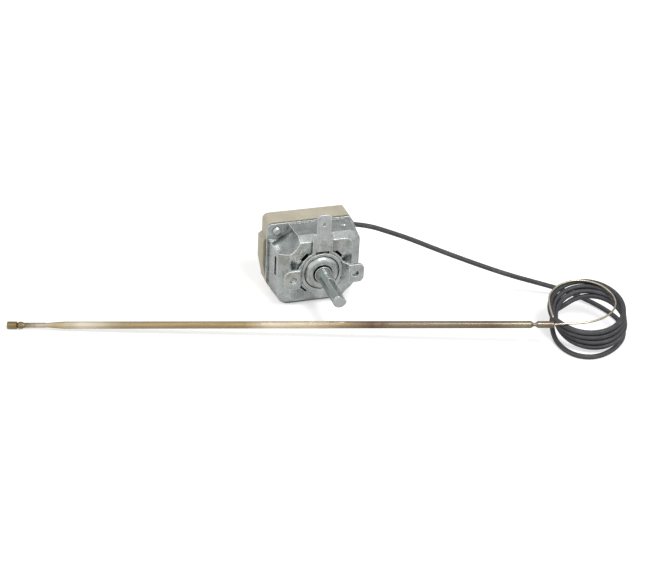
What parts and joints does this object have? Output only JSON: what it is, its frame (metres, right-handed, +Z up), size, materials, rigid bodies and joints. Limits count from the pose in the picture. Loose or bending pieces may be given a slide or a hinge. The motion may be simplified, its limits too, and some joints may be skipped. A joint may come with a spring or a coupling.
{
  "type": "capillary thermostat",
  "caption": "Oven thermostat with a steel can on a ceramic base, a turning spindle, a sleeved capillary wound in a coil and a long sensing bulb.",
  "frame": {"origin": "midway between the two threaded fixing holes, in the front face of the fixing ears, on the spindle's axis", "axes": "-Y along the spindle towards the knob, +X along the line of the fixing holes, +Z up, towards the earth tab"},
  "size_m": [0.2581, 0.1047, 0.0443],
  "materials": {
    "base_ceramic": "matt cream ceramic",
    "plated_steel": "zinc plated",
    "bracket_steel": "zinc plated",
    "rivet_steel": "zinc plated",
    "dome_steel": "bright",
    "spindle_steel": "turned",
    "contact_brass": "bright",
    "contact_silver": "bright",
    "sleeve_rubber": "matt dark grey",
    "capillary_metal": "dull",
    "bulb_metal": "satin with heat tint"
  },
  "bodies": {
    "root": {"switch_base": "base_ceramic", "housing_can": "plated_steel", "corner_rivet_upper": "rivet_steel", "corner_rivet_lower": "rivet_steel", "top_rivet": "rivet_steel", "mounting_bracket": "bracket_steel", "bearing_dome": "dome_steel", "spindle_bush": "dome_steel", "screw_bridge": "plated_steel", "capsule_tail": "capillary_metal", "pin_guide": "base_ceramic", "fixed_contact": "contact_silver", "contact_terminal": "contact_brass", "blade_terminal": "contact_brass", "calibrating_screw": "contact_brass", "capillary_sleeve": "sleeve_rubber", "capillary_coil": "sleeve_rubber", "bare_capillary": "capillary_metal", "sensing_bulb": "bulb_metal"},
    "spindle": {"spindle": "spindle_steel", "stop_disc": "bracket_steel", "friction_washer": "dome_steel"},
    "adjusting_screw": {"adjusting_screw": "contact_brass"},
    "capsule": {"diaphragm_capsule": "dome_steel"},
    "pin": {"transfer_pin": "base_ceramic"},
    "blade": {"contact_blade": "contact_brass", "moving_contact": "contact_silver"}
  },
  "joints": [
    {"name": "spindle_turn", "type": "hinge", "parent": "root", "child": "spindle", "pos_m": [0, 0, 0], "axis": [0, 1, 0], "range_deg": [0, 300]},
    {"name": "screw_feed", "type": "slide", "parent": "spindle", "child": "adjusting_screw", "axis": [0, -1, 0], "range_m": [0, 0.0007]},
    {"name": "capsule_shift", "type": "slide", "parent": "root", "child": "capsule", "axis": [0, -1, 0], "range_m": [0, 0.0007]},
    {"name": "pin_shift", "type": "slide", "parent": "root", "child": "pin", "axis": [0, -1, 0], "range_m": [0, 0.0007]},
    {"name": "blade_swing", "type": "hinge", "parent": "root", "child": "blade", "pos_m": [-0.0121, 0.02615, 0], "axis": [0, 0, -1], "range_deg": [0, 3.33]}
  ],
  "couplings": [
    {"joint": "spindle_turn", "follows": "screw_feed", "rad_per_m": 7480},
    {"joint": "capsule_shift", "follows": "screw_feed", "ratio": 1},
    {"joint": "pin_shift", "follows": "screw_feed", "ratio": 1},
    {"joint": "blade_swing", "follows": "screw_feed", "rad_per_m": 82.7}
  ]
}
